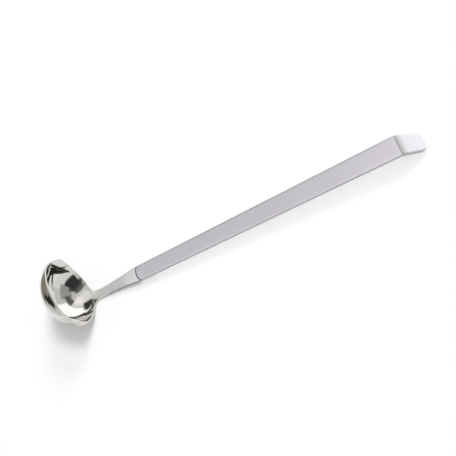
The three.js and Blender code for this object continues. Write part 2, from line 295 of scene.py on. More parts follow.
@dataclass(frozen=True)
class Stamping:
    """Bowl, pour lips, neck and tang, pressed from one sheet. Sizes in millimetres."""

    joint: Joint
    place: Matrix
    to_neck: float = 22.08
    to_side: float = 25.65
    depth: float = 19.22
    wall: float = 1.2
    cap_angle: float = math.radians(87)
    neck_cap_angle: float = math.radians(66)
    eased_from: float = math.radians(20)
    eased_to: float = math.radians(100)
    rim_to_handle: float = math.radians(69.5)
    rim_centre: Vector = Vector((-42.9, 0, 19.8))
    lip_reach: float = 2.3
    lip_half_angle: float = math.radians(32)
    lip_height: float = 6.5
    lip_dip: float = 1.75
    fold_reach: float = 22.8
    fold_depth: float = 2.0
    fold_round: float = 2.2
    fold_least_cosine: float = 0.1
    flare_half_width: float = 9.5
    flare_reach: float = 5.0
    waist: float = 6.7
    waist_before_joint: float = 29.0
    shoulder_ease: float = 1.0
    rim_margin: float = 0.1
    neck_thickness: float = 2.2
    sweep: int = 2
    edge_radius: float = 0.38
    facing_handle: float = 0.6
    segments: int = 192
    rings: int = 40

    @property
    def neck_length(self) -> float:
        """Length of the neck from the rim to the joint."""
        return -self.rim_centre.x - self.to_neck * math.cos(self.rim_to_handle)

    @property
    def neck_rise(self) -> float:
        """Height of the handle's underside over the rim where the neck leaves it."""
        return self.to_neck * math.sin(self.rim_to_handle) - self.rim_centre.z

    @property
    def wall_at_rim(self) -> float:
        """Angle of the bowl's wall at the rim, from the rim's plane."""
        angle = self.neck_cap_angle
        slope = math.tan(angle) * math.sin(angle) / (1 - math.cos(angle))
        return math.atan(slope * self.depth / self.to_neck)

    @property
    def tilt(self) -> Matrix:
        """Turn from the bowl's own axes (neck, side, mouth) to the handle's."""
        return Matrix.Rotation(self.rim_to_handle, 4, "Y")

    def build(self) -> bpy.types.Object:
        """Presses the sheet and gives it its thickness.

        Returns:
            The finished stamping, in its place.
        """
        bm = bmesh.new()
        self.turn_bowl(bm)
        self.draw_neck(bm)
        self.thicken(bm)
        self.draw_tang(bm)
        made = new_piece(bm, "stamped_bowl_and_neck", self.place)
        carve(made, self.joint.weld_rooms())
        return made

    def turn_bowl(self, bm: bmesh.types.BMesh) -> None:
        """Spins the bowl's wall line, draws it oval, pulls out its lips and lays it at the neck.

        Args:
            bm: the empty mesh.
        """
        mouth = math.cos(self.cap_angle)
        line = []
        for ring in range(self.rings + 1):
            angle = self.cap_angle * ring / self.rings
            radius = self.to_neck * math.sin(angle) / math.sin(self.cap_angle)
            line.append(bm.verts.new((radius, 0, -self.depth * (math.cos(angle) - mouth) / (1 - mouth))))
        for low, high in zip(line, line[1:]):
            bm.edges.new((low, high))
        bmesh.ops.spin(
            bm,
            geom=bm.verts[:] + bm.edges[:],
            cent=(0, 0, 0),
            axis=(0, 0, 1),
            angle=math.tau,
            steps=self.segments,
            use_merge=True,
        )
        bmesh.ops.remove_doubles(bm, verts=bm.verts, dist=SAME_POINT)
        for vert in bm.verts:
            vert.co = self.pressed(vert.co)
        bmesh.ops.transform(bm, matrix=Matrix.Translation(self.rim_centre) @ self.tilt, verts=bm.verts)

    def pressed(self, point: Vector) -> Vector:
        """Moves a point of the round bowl to where the press leaves it.

        Args:
            point: a point on the turned wall, with the neck along x and the mouth along z.

        Returns:
            The point on the oval wall with its lips.
        """
        turn = math.atan2(point.y, point.x)
        oval = 1 / math.hypot(math.cos(turn), math.sin(turn) * self.to_neck / self.to_side)
        wall = math.hypot(point.x, point.y) * oval * self.eased(-point.z / self.depth, turn)
        from_lip = abs(abs(turn) - math.pi / 2)
        edge = wall + self.lip_reach * max(0.0, 1 - from_lip / self.lip_half_angle) ** 2
        fold = self.fold_reach / max(math.cos(from_lip), self.fold_least_cosine)
        near = min(max(0.5 + (fold - wall) / (2 * self.fold_round), 0.0), 1.0)
        folded = fold + (wall - fold) * near - self.fold_round * near * (1 - near)
        radius = folded + (edge - folded) * min(max(1 + point.z / self.fold_depth, 0.0), 1.0)
        lift = min(max(1 + point.z / self.lip_height, 0.0), 1.0)
        rise = point.z - self.lip_dip * lift * math.sin(turn) ** 2
        return Vector((radius * math.cos(turn), radius * math.sin(turn), rise))

    def eased(self, deep: float, turn: float) -> float:
        """Gives how far the wall is drawn in on its way round to the neck, where it opens wider.

        Args:
            deep: from 0 at the rim to 1 at the bottom.
            turn: the angle from the neck.

        Returns:
            The share of the turned wall's radius.
        """
        share = smooth_step(abs(turn), self.eased_from, self.eased_to)
        angle = self.neck_cap_angle + (self.cap_angle - self.neck_cap_angle) * share
        level = min(max(deep, 0.0), 1.0)
        opened, plain = (
            math.sin(math.acos(math.cos(a) + level * (1 - math.cos(a)))) / math.sin(a)
            for a in (angle, self.cap_angle)
        )
        return opened / plain if plain > 0 else 1.0

    def neck_stations(self) -> list[tuple[float, float]]:
        """Lists x and half width along the neck, from the flare at the rim to the shoulder.

        Returns:
            Pairs of x and half width, without the rim itself.
        """
        half = self.waist / 2
        shoulder = self.joint.width / 2
        flare_steps, waist_steps = 12, 28
        stations = []
        for step in range(1, flare_steps + 1):
            angle = math.pi / 2 * step / flare_steps
            out = self.flare_reach * (1 - math.cos(angle))
            width = self.flare_half_width - (self.flare_half_width - half) * math.sin(angle)
            stations.append((out - self.neck_length, width))
        knots = [(-self.waist_before_joint, half), (-self.waist_before_joint / 2, half)]
        knots.append((-shoulder, shoulder - self.shoulder_ease))
        knots.append((self.joint.seam(shoulder, self.joint.gap), shoulder))
        curve = interpolate_bezier(*(Vector((x, y, 0)) for x, y in knots), waist_steps)
        return stations + [(point.x, point.y) for point in curve]

    def flared(self, y: float, out: float) -> Vector:
        """Gives a point on the wall run straight on past the rim.

        Args:
            y: how far to the side.
            out: how far past the rim.

        Returns:
            The point in the handle's axes.
        """
        turn = math.asin(y / self.to_neck)
        oval = 1 / math.hypot(math.cos(turn), math.sin(turn) * self.to_neck / self.to_side)
        radius = self.to_neck * oval + out * math.cos(self.wall_at_rim)
        own = Vector((radius * math.cos(turn), radius * math.sin(turn), out * math.sin(self.wall_at_rim)))
        return self.rim_centre + self.tilt.to_3x3() @ own

    def neck_point(self, x: float, half: float, share: float) -> Vector:
        """Gives a point on the underside of the neck.

        Args:
            x: the station's x at the neck's sides.
            half: the neck's half width there.
            share: from -1 at one side to 1 at the other.

        Returns:
            The point in the handle's axes.
        """
        y = half * share
        out = x + self.neck_length
        hollow = self.joint.seam(self.joint.width / 2 * share, self.joint.gap)
        shoulder = self.joint.seam(self.joint.width / 2, self.joint.gap)
        set_back = (shoulder - hollow) * smooth_step(x, -2 * self.joint.nose_radius, shoulder)
        z = -self.neck_rise * (max(-x, 0.0) / self.neck_length) ** self.sweep
        straight = Vector((x - set_back, y, z))
        return self.flared(y, out).lerp(straight, smooth_step(out, 0.0, 2 * self.flare_reach))

    def draw_neck(self, bm: bmesh.types.BMesh) -> None:
        """Runs the rim's edges next to the neck out into the neck, row by row.

        Args:
            bm: the bowl's sheet.
        """
        rim = [e for e in bm.edges if e.is_boundary]
        reach = self.flare_half_width + self.rim_margin
        row = [e for e in rim if all(abs(v.co.y) < reach and v.co.x > self.rim_centre.x for v in e.verts)]
        for x, half in self.neck_stations():
            shares = {}
            grown = bmesh.ops.extrude_edge_only(bm, edges=row)["geom"]
            verts = [g for g in grown if isinstance(g, bmesh.types.BMVert)]
            widest = max(abs(v.co.y) for v in verts)
            for vert in verts:
                shares[vert] = vert.co.y / widest
            for vert, share in shares.items():
                vert.co = self.neck_point(x, half, share)
            edges = [g for g in grown if isinstance(g, bmesh.types.BMEdge)]
            row = [e for e in edges if all(v in shares for v in e.verts)]

    def thickness_at(self, x: float) -> float:
        """Gives the sheet's thickness at a station, thicker towards the joint."""
        return self.wall + (self.neck_thickness - self.wall) * smooth_step(x, -self.neck_length, 0.0)

    def thicken(self, bm: bmesh.types.BMesh) -> None:
        """Gives the sheet its wall on the inside and top, and rounds its edge.

        Args:
            bm: the open sheet, which is the outside and underside.
        """
        bmesh.ops.recalc_face_normals(bm, faces=bm.faces)
        bm.normal_update()
        mouth = self.tilt.to_3x3() @ Vector((0, 0, 1))
        bottom = min(bm.verts, key=lambda v: (v.co - self.rim_centre) @ mouth)
        if bottom.normal.x > 0:
            bmesh.ops.reverse_faces(bm, faces=bm.faces)
            bm.normal_update()
        inside = {v: v.co - v.normal * self.thickness_at(v.co.x) for v in bm.verts}
        places = {tuple(v.co): point for v, point in inside.items()}
        under = set(bm.verts)
        grown = bmesh.ops.extrude_face_region(bm, geom=bm.faces[:], use_keep_orig=True)["geom"]
        for vert in (g for g in grown if isinstance(g, bmesh.types.BMVert)):
            if vert not in under:
                vert.co = places[tuple(vert.co)]
        bmesh.ops.recalc_face_normals(bm, faces=bm.faces)
        heel = self.joint.seam(self.joint.width / 2, self.joint.gap)
        edges = [
            e
            for e in sharp_edges(bm)
            if not all(v.co.z < self.edge_radius / 2 and self.on_seam(v.co, heel) for v in e.verts)
        ]
        round_edges(bm, edges, self.edge_radius)

    def on_seam(self, point: Vector, heel: float) -> bool:
        """Tells whether a point lies on the neck's hollow end.

        Args:
            point: a point of the thickened sheet.
            heel: x of the seam's arc at the neck's sides.

        Returns:
            Whether it is on the seam's arc.
        """
        gap = self.joint.gap
        off = abs(point.x - self.joint.seam(point.y, gap))
        return -2 * gap < point.x <= heel + gap and off < gap / 2

    def hollow_end(self, bm: bmesh.types.BMesh) -> list[bmesh.types.BMFace]:
        """Lists the faces of the neck's hollow end, which look along the handle.

        Args:
            bm: the thickened sheet.

        Returns:
            The faces, in the mesh's order.
        """
        bm.normal_update()
        start = -2 * self.joint.gap
        back = [f for f in bm.faces if f.normal.x > self.facing_handle]
        return [f for f in back if f.calc_center_median().x > start]

    def draw_tang(self, bm: bmesh.types.BMesh) -> None:
        """Draws the tang out of the lower middle of the neck's hollow end.

        Args:
            bm: the thickened sheet.
        """
        joint = self.joint
        wall = self.hollow_end(bm)
        cuts = [(Vector((0, 0, joint.tang_thickness)), Vector((0, 0, 1)))]
        cuts += [(Vector((0, side * joint.tang_width / 2, 0)), Vector((0, 1, 0))) for side in (-1, 1)]
        for point, normal in cuts:
            edges = list(dict.fromkeys(e for f in wall for e in f.edges))
            verts = list(dict.fromkeys(v for f in wall for v in f.verts))
            bmesh.ops.bisect_plane(
                bm, geom=wall + edges + verts, plane_co=point, plane_no=normal, dist=ON_PLANE
            )
            wall = self.hollow_end(bm)
        root = []
        for face in wall:
            middle = face.calc_center_median()
            if middle.z < joint.tang_thickness and abs(middle.y) < joint.tang_width / 2:
                root.append(face)
        grown = bmesh.ops.extrude_face_region(bm, geom=root)["geom"]
        for vert in (g for g in grown if isinstance(g, bmesh.types.BMVert)):
            vert.co.x = joint.tang_end(vert.co.y)


@dataclass(frozen=True)
class BarHandle:
    """The flat tapering bar with its round nose and bent end. Sizes in millimetres."""

    joint: Joint
    place: Matrix
    length: float = 198.0
    thickness: float = 2.2
    back_width: float = 16.6
    bend_length: float = 18.48
    bend_angle: float = math.radians(26)
    bend_radius: float = 1.5
    corner_radius: float = 5.0
    nose_fade: float = 36.8
    edge_radius: float = 0.4
    columns: int = 12

    @property
    def bend_start(self) -> float:
        """Where the bend begins, measured along the underside."""
        return self.length - self.bend_radius * math.tan(self.bend_angle / 2)

    @property
    def bend_end(self) -> float:
        """Where the bend ends, measured along the underside."""
        return self.bend_start + self.bend_radius * self.bend_angle

    @property
    def whole_length(self) -> float:
        """Length along the underside from nose to tip."""
        return self.bend_end + self.bend_length - (self.length - self.bend_start)

    def stations(self) -> list[tuple[float, float]]:
        """Lists the distance along the underside and the half width there, from nose to tip.

        Returns:
            Pairs of distance and half width.
        """
        front, back = self.joint.width / 2, self.back_width / 2
        heel = self.joint.seam(front, 0.0)
        taper_steps, bend_steps, corner_steps = 40, 10, 12
        found = []
        for step in range(taper_steps + 1):
            share = step / taper_steps
            found.append((heel + (self.bend_start - heel) * share, front + (back - front) * share))
        for step in range(1, bend_steps + 1):
            found.append((self.bend_start + (self.bend_end - self.bend_start) * step / bend_steps, back))
        turn_start = self.whole_length - self.corner_radius
        for step in range(corner_steps + 1):
            angle = math.pi / 2 * step / corner_steps
            in_from_side = self.corner_radius * (1 - math.cos(angle))
            found.append((turn_start + self.corner_radius * math.sin(angle), back - in_from_side))
        return found

    def build(self) -> bpy.types.Object:
        """Cuts the blank, bends its end, rounds its edges and mills the tang's pocket.

        Returns:
            The finished bar, in its place.
        """
        bm = bmesh.new()
        self.cut_blank(bm)
        for vert in bm.verts:
            vert.co = self.bent(vert.co)
        bmesh.ops.recalc_face_normals(bm, faces=bm.faces)
        round_edges(bm, sharp_edges(bm), self.edge_radius)
        made = new_piece(bm, "bar_handle", self.place)
        carve(made, self.joint.pocket(self.place))
        carve(made, self.joint.weld_rooms())
        return made

    def cut_blank(self, bm: bmesh.types.BMesh) -> None:
        """Lays out the flat blank on a grid and gives it its thickness.

        Args:
            bm: the empty mesh.
        """
        stations = self.stations()
        bmesh.ops.create_grid(bm, x_segments=len(stations) - 1, y_segments=self.columns, size=1.0)
        heel = self.joint.seam(self.joint.width / 2, 0.0)
        for vert in bm.verts:
            index = round((vert.co.x + 1) / 2 * (len(stations) - 1))
            along, half = stations[index]
            nose = self.joint.seam(vert.co.y * self.joint.width / 2, 0.0) - heel
            straight = smooth_step(along, heel, heel + self.nose_fade)
            vert.co = Vector((along + nose * (1 - straight), vert.co.y * half, 0))
        up = bmesh.ops.extrude_face_region(bm, geom=bm.faces[:], use_keep_orig=True)["geom"]
        raised = [g for g in up if isinstance(g, bmesh.types.BMVert)]
        bmesh.ops.translate(bm, vec=(0, 0, self.thickness), verts=raised)

    def bent(self, point: Vector) -> Vector:
        """Carries a point of the flat blank round the bend.

        Args:
            point: distance along the underside, side and height.

        Returns:
            The point in the handle's axes.
        """
        turn = min(max((point.x - self.bend_start) / self.bend_radius, 0.0), self.bend_angle)
        past = max(point.x - self.bend_end, 0.0)
        radius = self.bend_radius + point.z
        x = min(point.x, self.bend_start) + radius * math.sin(turn) + past * math.cos(turn)
        z = radius * math.cos(turn) - self.bend_radius - past * math.sin(turn)
        return Vector((x, point.y, z))


def from_nose(tree: bpy.types.NodeTree, place: Matrix, joint: Joint) -> bpy.types.NodeSocket:
    """Adds the distance in plan from the middle of the bar's round nose.

    Args:
        tree: the tree that gets the nodes.
        place: the matrix from millimetres at the joint to the frame.
        joint: the seam round the nose.

    Returns:
        An output in metres.
    """
    spot = add_node(tree, "TexCoord").outputs["Object"]
    centre = place @ Vector((joint.nose_radius, 0, 0))
    flat = add_node(tree, "Mapping", Vector=spot, Location=(-centre.x, -centre.y, 0), Scale=(1, 1, 0))
    length = add_node(tree, "VectorMath", {"operation": "LENGTH"}, at_0=flat.outputs["Vector"])
    return length.outputs["Value"]


def upright(tree: bpy.types.NodeTree) -> bpy.types.NodeSocket:
    """Adds the test for a side face, which stands upright on a piece that lies flat and gets painted shade.

    Args:
        tree: the tree that gets the nodes.

    Returns:
        An output that is 1 on the side edges and 0 on the flat faces.
    """
    flat_below, upright_above = 0.35, 0.85
    facing = add_node(tree, "SeparateXYZ", Vector=add_node(tree, "TexCoord").outputs["Normal"])
    steep = add_node(tree, "Math", {"operation": "ABSOLUTE"}, at_0=facing.outputs["Y"])
    return add_node(
        tree, "MapRange", EASED, Value=steep.outputs["Value"], From_Min=flat_below, From_Max=upright_above
    ).outputs["Result"]


@dataclass(frozen=True)
class PolishedSteel:
    """Stainless steel sheet, pressed, buffed to a mirror in the bowl and brushed along the neck.

    Lengths in millimetres. The satin's start and end are measured from the joint along the handle, and
    what lies beside the seam (arc marks, ground steel with a painted sheen, the seam's painted shade)
    back from the seam's arc.
    """

    name: str = "stainless_steel_mirror_to_satin"
    mirror: str = "#d6d4d0"
    satin: str = "#e4e0e3"
    satin_deep: str = "#d4d0d3"
    # Ground steel beside the seam, its colour painted brighter than the satin as a painted sheen.
    ground_sheen: str = "#faf7fa"
    # Painted shade: the darker colour drawn on the neck's side faces.
    edge: str = "#a5a2a5"
    # Painted shade: the colour of the dark line drawn in the seam's gap.
    seam_shade: str = "#565456"
    mirror_roughness: float = 0.035
    satin_roughness: float = 0.27
    ground_roughness: float = 0.12
    satin_from: float = -28.0
    satin_to: float = -20.0
    press_ripple: float = 7.0
    grain_width: float = 0.5
    grain_length: float = 16.0
    arc_mark_width: float = 0.45
    arc_marks_from: float = 7.0
    arc_marks_full: float = 1.0
    ground_from: float = 15.0
    ground_full: float = 2.0
    seam_shade_from: float = 0.35
    seam_shade_full: float = 0.1
    roughness_spread: float = 0.06
    line_strength: float = 0.25
    line_depth: float = 0.03

    def material(self, place: Matrix, joint: Joint) -> bpy.types.Material:
        """Builds the finish.

        The bowl gives clear, slightly wavy reflections, as pressed sheet does. The neck is pale and even,
        with fine lines along it. Beside the seam it is ground smoother, with arcs of dressing marks, and its
        colour is painted brighter there as a painted sheen. Its side faces are painted darker as painted
        shade, and a fine dark line of painted shade is drawn in the seam's gap.

        Args:
            place: the matrix from millimetres at the joint to the frame.
            joint: the seam that the arcs follow.

        Returns:
            The material.
        """
        made, tree, shader = new_finish(self.name, metallic=1)
        start, end = ((place @ Vector((x, 0, 0))).x for x in (self.satin_from, self.satin_to))
        spot = add_node(tree, "TexCoord").outputs["Object"]
        axes = add_node(tree, "SeparateXYZ", Vector=spot)
        brushed = add_node(
            tree, "MapRange", EASED, Value=axes.outputs["X"], From_Min=start, From_Max=end
        ).outputs["Result"]
        ripple = add_node(tree, "TexNoise", Vector=spot, Scale=1 / (self.press_ripple * MM), Detail=1.0)
        stretch = (1 / (self.grain_length * MM), 1 / (self.grain_width * MM), 1 / (self.grain_length * MM))
        drawn = add_node(tree, "Mapping", Vector=spot, Scale=stretch)
        grain = add_node(
            tree, "TexNoise", Vector=drawn.outputs["Vector"], Scale=1.0, Detail=3.0, Roughness=0.6
        )
        reach = from_nose(tree, place, joint)
        marks = add_node(
            tree,
            "TexNoise",
            {"noise_dimensions": "1D"},
            W=reach,
            Scale=1 / (self.arc_mark_width * MM),
            Detail=2.0,
        )
        near = add_node(
            tree,
            "MapRange",
            EASED,
            Value=reach,
            From_Min=(joint.nose_radius + self.arc_marks_from) * MM,
            From_Max=(joint.nose_radius + self.arc_marks_full) * MM,
        )
        lines = add_node(
            tree,
            "Mix",
            VALUES,
            Factor=near.outputs["Result"],
            at_2=grain.outputs["Fac"],
            at_3=marks.outputs["Fac"],
        )
        height = add_node(
            tree, "Mix", VALUES, Factor=brushed, at_2=ripple.outputs["Fac"], at_3=lines.outputs["Result"]
        )
        bump = add_node(
            tree,
            "Bump",
            Height=height.outputs["Result"],
            Strength=self.line_strength,
            Distance=self.line_depth * MM,
        )
        tree.links.new(bump.outputs["Normal"], shader.inputs["Normal"])
        rough = add_node(
            tree,
            "MapRange",
            Value=lines.outputs["Result"],
            From_Min=NOISE_LOW,
            From_Max=NOISE_HIGH,
            To_Min=self.satin_roughness - self.roughness_spread,
            To_Max=self.satin_roughness + self.roughness_spread,
        )
        dressed = add_node(
            tree,
            "MapRange",
            EASED,
            Value=reach,
            From_Min=(joint.nose_radius + self.ground_from) * MM,
            From_Max=(joint.nose_radius + self.ground_full) * MM,
        )
        worked = add_node(
            tree,
            "Mix",
            VALUES,
            Factor=dressed.outputs["Result"],
            at_2=rough.outputs["Result"],
            at_3=self.ground_roughness,
        )
        roughness = add_node(
            tree, "Mix", VALUES, Factor=brushed, at_2=self.mirror_roughness, at_3=worked.outputs["Result"]
        )
        tree.links.new(roughness.outputs["Result"], shader.inputs["Roughness"])
        shade = add_node(
            tree,
            "Mix",
            COLOURS,
            Factor=lines.outputs["Result"],
            at_6=linear(self.satin),
            at_7=linear(self.satin_deep),
        )
        # Painted sheen: the ground steel beside the seam is drawn in a brighter colour.
        bright = add_node(
            tree,
            "Mix",
            COLOURS,
            Factor=dressed.outputs["Result"],
            at_6=shade.outputs[2],
            at_7=linear(self.ground_sheen),
        )
        # Painted shade: the side faces are drawn darker, as they stand in shade.
        side_shaded = add_node(
            tree, "Mix", COLOURS, Factor=upright(tree), at_6=bright.outputs[2], at_7=linear(self.edge)
        )
        # Painted shade: a fine dark line is drawn along the seam, where its gap lies in shade.
        seam_shade_mask = add_node(
            tree,
            "MapRange",
            EASED,
            Value=reach,
            From_Min=(joint.nose_radius + joint.gap + self.seam_shade_from) * MM,
            From_Max=(joint.nose_radius + joint.gap + self.seam_shade_full) * MM,
        )
        seam_shaded = add_node(
            tree,
            "Mix",
            COLOURS,
            Factor=seam_shade_mask.outputs["Result"],
            at_6=side_shaded.outputs[2],
            at_7=linear(self.seam_shade),
        )
        colour = add_node(
            tree, "Mix", COLOURS, Factor=brushed, at_6=linear(self.mirror), at_7=seam_shaded.outputs[2]
        )
        tree.links.new(colour.outputs[2], shader.inputs["Base Color"])
        return made


@dataclass(frozen=True)
class SatinSteel:
    """Stainless steel bar, brushed lengthwise to an even satin. Lengths in millimetres."""

    name: str = "stainless_steel_satin_bar"
    pale: str = "#e8e5ea"
    deep: str = "#dad7dc"
    # Painted shade: the darker colour drawn on the bar's side faces.
    edge: str = "#b4b1b5"
    # Painted reflection: the colour of the dark band laid just past the bend.
    bend: str = "#a9a7a5"
    # Painted shade: the colour of the dark line drawn on the nose beside the seam's gap.
    seam_shade: str = "#565456"
    bend_at: float = 198.4
    bend_before: float = 0.8
    bend_after: float = 0.6
    bend_fade: float = 5.0
    seam_shade_from: float = 0.3
    seam_shade_full: float = 0.05
    roughness: float = 0.31
    roughness_spread: float = 0.06
    line_strength: float = 0.3
    line_depth: float = 0.02
    streak_share: float = 0.5
    cloud_share: float = 0.3
    grain_width: float = 0.16
    grain_length: float = 9.0
    streak_width: float = 1.5
    streak_length: float = 60.0
    cloud: float = 22.0

    def material(self, place: Matrix, joint: Joint) -> bpy.types.Material:
        """Builds the finish.

        Fine lengthwise lines blur the room to a soft grey. The true lines are too fine to show from the
        photograph's distance, so wider and fainter streaks are drawn with them. Just past the bend a dark
        band of painted reflection is laid, and the side faces are painted darker as painted shade.

        Args:
            place: the matrix from millimetres at the joint to the frame.
            joint: the seam round the bar's nose, beside which a dark line of painted shade is drawn.

        Returns:
            The material.
        """
        made, tree, shader = new_finish(self.name, metallic=1)
        spot = add_node(tree, "TexCoord").outputs["Object"]
        layers = []
        sizes = ((self.grain_width, self.grain_length), (self.streak_width, self.streak_length))
        for width, length in sizes:
            stretch = (1 / (length * MM), 1 / (width * MM), 1 / (length * MM))
            drawn = add_node(tree, "Mapping", Vector=spot, Scale=stretch)
            noise = add_node(tree, "TexNoise", Vector=drawn.outputs["Vector"], Scale=1.0, Detail=3.0)
            layers.append(noise.outputs["Fac"])
        grain, streak = layers
        cloud = add_node(tree, "TexNoise", Vector=spot, Scale=1 / (self.cloud * MM), Detail=2.0)
        lines = add_node(tree, "Mix", VALUES, Factor=self.streak_share, at_2=grain, at_3=streak)
        tone = add_node(
            tree,
            "Mix",
            VALUES,
            Factor=self.cloud_share,
            at_2=lines.outputs["Result"],
            at_3=cloud.outputs["Fac"],
        )
        colour = add_node(
            tree,
            "Mix",
            COLOURS,
            Factor=tone.outputs["Result"],
            at_6=linear(self.pale),
            at_7=linear(self.deep),
        )
        rough = add_node(
            tree,
            "MapRange",
            Value=tone.outputs["Result"],
            From_Min=NOISE_LOW,
            From_Max=NOISE_HIGH,
            To_Min=self.roughness - self.roughness_spread,
            To_Max=self.roughness + self.roughness_spread,
        )
        bump = add_node(
            tree,
            "Bump",
            Height=lines.outputs["Result"],
            Strength=self.line_strength,
            Distance=self.line_depth * MM,
        )
        axes = add_node(tree, "SeparateXYZ", Vector=spot)
        # Painted reflection: a dark band starts at the bend and fades towards the tip, where the bent face
        # mirrors a darker part of the room.
        bend_at = (place @ Vector((self.bend_at, 0, 0))).x
        past = add_node(
            tree,
            "MapRange",
            EASED,
            Value=axes.outputs["X"],
            From_Min=bend_at - self.bend_before * MM,
            From_Max=bend_at + self.bend_after * MM,
        )
        bend_shade_mask = add_node(
            tree,
            "MapRange",
            Value=axes.outputs["X"],
            From_Min=bend_at + self.bend_fade * MM,
            From_Max=bend_at + self.bend_after * MM,
            To_Max=past.outputs["Result"],
        )
        bend_shaded = add_node(
            tree,
            "Mix",
            COLOURS,
            Factor=bend_shade_mask.outputs["Result"],
            at_6=colour.outputs[2],
            at_7=linear(self.bend),
        )
        # Painted shade: the side faces are drawn darker, as they stand in shade.
        side_shaded = add_node(
            tree, "Mix", COLOURS, Factor=upright(tree), at_6=bend_shaded.outputs[2], at_7=linear(self.edge)
        )
        # Painted shade: a fine dark line is drawn on the nose beside the seam, where its gap lies in shade.
        nose_end = (place @ Vector((joint.nose_radius / 2, 0, 0))).x
        at_nose = add_node(tree, "Math", {"operation": "LESS_THAN"}, at_0=axes.outputs["X"], at_1=nose_end)
        seam_shade_mask = add_node(
            tree,
            "MapRange",
            EASED,
            Value=from_nose(tree, place, joint),
            From_Min=(joint.nose_radius - self.seam_shade_from) * MM,
            From_Max=(joint.nose_radius - self.seam_shade_full) * MM,
            To_Max=at_nose.outputs["Value"],
        )
        seam_shaded = add_node(
            tree,
            "Mix",
            COLOURS,
            Factor=seam_shade_mask.outputs["Result"],
            at_6=side_shaded.outputs[2],
            at_7=linear(self.seam_shade),
        )
        tree.links.new(seam_shaded.outputs[2], shader.inputs["Base Color"])
        tree.links.new(rough.outputs["Result"], shader.inputs["Roughness"])
        tree.links.new(bump.outputs["Normal"], shader.inputs["Normal"])
        return made


@dataclass(frozen=True)
class WeldMetal:
    """Stainless steel weld, left as it froze. Lengths in millimetres."""

    name: str = "stainless_steel_weld"
    grey: str = "#8f8a84"
    straw: str = "#b39a72"
    blue: str = "#6a7186"
    tint_size: float = 0.9
    blue_at: float = 0.35
    grey_at: float = 0.5
    straw_at: float = 0.65
    ripple: float = 0.25
    ripple_strength: float = 0.5
    ripple_depth: float = 0.05
    smoothest: float = 0.4
    roughest: float = 0.7

    def material(self) -> bpy.types.Material:
        """Builds the finish: dull metal with ripples, and straw and blue where it was hot.

        Returns:
            The material.
        """
        made, tree, shader = new_finish(self.name, metallic=1)
        spot = add_node(tree, "TexCoord").outputs["Object"]
        tint = add_node(tree, "TexNoise", Vector=spot, Scale=1 / (self.tint_size * MM), Detail=2.0)
        ramp = add_node(tree, "ValToRGB", Fac=tint.outputs["Fac"])
        band = ramp.color_ramp.elements
        band[0].position, band[0].color = self.blue_at, linear(self.blue)
        band[1].position, band[1].color = self.straw_at, linear(self.straw)
        band.new(self.grey_at).color = linear(self.grey)
        ripple = add_node(tree, "TexNoise", Vector=spot, Scale=1 / (self.ripple * MM), Detail=2.0)
        rough = add_node(
            tree, "MapRange", Value=ripple.outputs["Fac"], To_Min=self.smoothest, To_Max=self.roughest
        )
        bump = add_node(
            tree,
            "Bump",
            Height=ripple.outputs["Fac"],
            Strength=self.ripple_strength,
            Distance=self.ripple_depth * MM,
        )
        tree.links.new(ramp.outputs["Color"], shader.inputs["Base Color"])
        tree.links.new(rough.outputs["Result"], shader.inputs["Roughness"])
        tree.links.new(bump.outputs["Normal"], shader.inputs["Normal"])
        return made


@dataclass(frozen=True)
class PaintedTable:
    """White painted board under the ladle. Lengths in millimetres."""

    name: str = "white_painted_board"
    paint: str = "#f5f5f5"
    half_size: float = 1500.0
    left_edge: float = -200.0
    glow: float = 0.09
    mottle: float = 40.0
    smoothest: float = 0.8
    roughest: float = 0.95

    def build(self) -> bpy.types.Object:
        """Makes the board, white where it is open and grey where the ladle shades it.

        Returns:
            The board, which is stage and not part of the ladle.
        """
        bm = bmesh.new()
        bmesh.ops.create_grid(bm, x_segments=1, y_segments=1, size=self.half_size)
        bmesh.ops.translate(bm, vec=(self.left_edge + self.half_size, 0, 0), verts=bm.verts)
        made = new_piece(bm, "table", Matrix.Scale(MM, 4))
        dress(made, self.material())
        return made

    def material(self) -> bpy.types.Material:
        """Builds the paint.

        The board gives back the studio's light, and a little more to what looks at it, so that open
        board is white and a shadow stays.

        Returns:
            The material.
        """
        made, tree, shader = new_finish(self.name, metallic=0)
        shader.inputs["Base Color"].default_value = linear(self.paint)
        shader.inputs["Specular IOR Level"].default_value = 0.0
        shader.inputs["Emission Color"].default_value = (1, 1, 1, 1)
        seen = seen_rays(tree)
        spot = add_node(tree, "TexCoord").outputs["Object"]
        mottle = add_node(tree, "TexNoise", Vector=spot, Scale=1 / (self.mottle * MM))
        rough = add_node(
            tree, "MapRange", Value=mottle.outputs["Fac"], To_Min=self.smoothest, To_Max=self.roughest
        )
        tree.links.new(rough.outputs["Result"], shader.inputs["Roughness"])
        glow = add_node(tree, "Math", {"operation": "MULTIPLY"}, at_0=seen, at_1=self.glow)
        tree.links.new(glow.outputs["Value"], shader.inputs["Emission Strength"])
        return made


def seen_rays(tree: bpy.types.NodeTree) -> bpy.types.NodeSocket:
    """Adds the test for what looks at a surface: the camera, a mirror or glass.

    Args:
        tree: the tree that gets the nodes.

    Returns:
        An output that is 1 for those rays.
    """
    path = add_node(tree, "LightPath")
    mirror = add_node(
        tree,
        "Math",
        {"operation": "MAXIMUM"},
        at_0=path.outputs["Is Glossy Ray"],
        at_1=path.outputs["Is Transmission Ray"],
    )
    seen = add_node(
        tree,
        "Math",
        {"operation": "MAXIMUM"},
        at_0=path.outputs["Is Camera Ray"],
        at_1=mirror.outputs["Value"],
    )
    return seen.outputs["Value"]


@dataclass(frozen=True)
class TentPatch:
    """A soft-edged patch on the wall of the light tent, in degrees round and up from the table.

    It shows from a given number of mirrorings on: the first, or only in a mirror seen in a mirror.
    """

    azimuth: float
    elevation: float
    half_width: float
    half_height: float
    strength: float
    colour: str = "#ffffff"
    soft: float = 4.0
    after_mirrors: int = 1


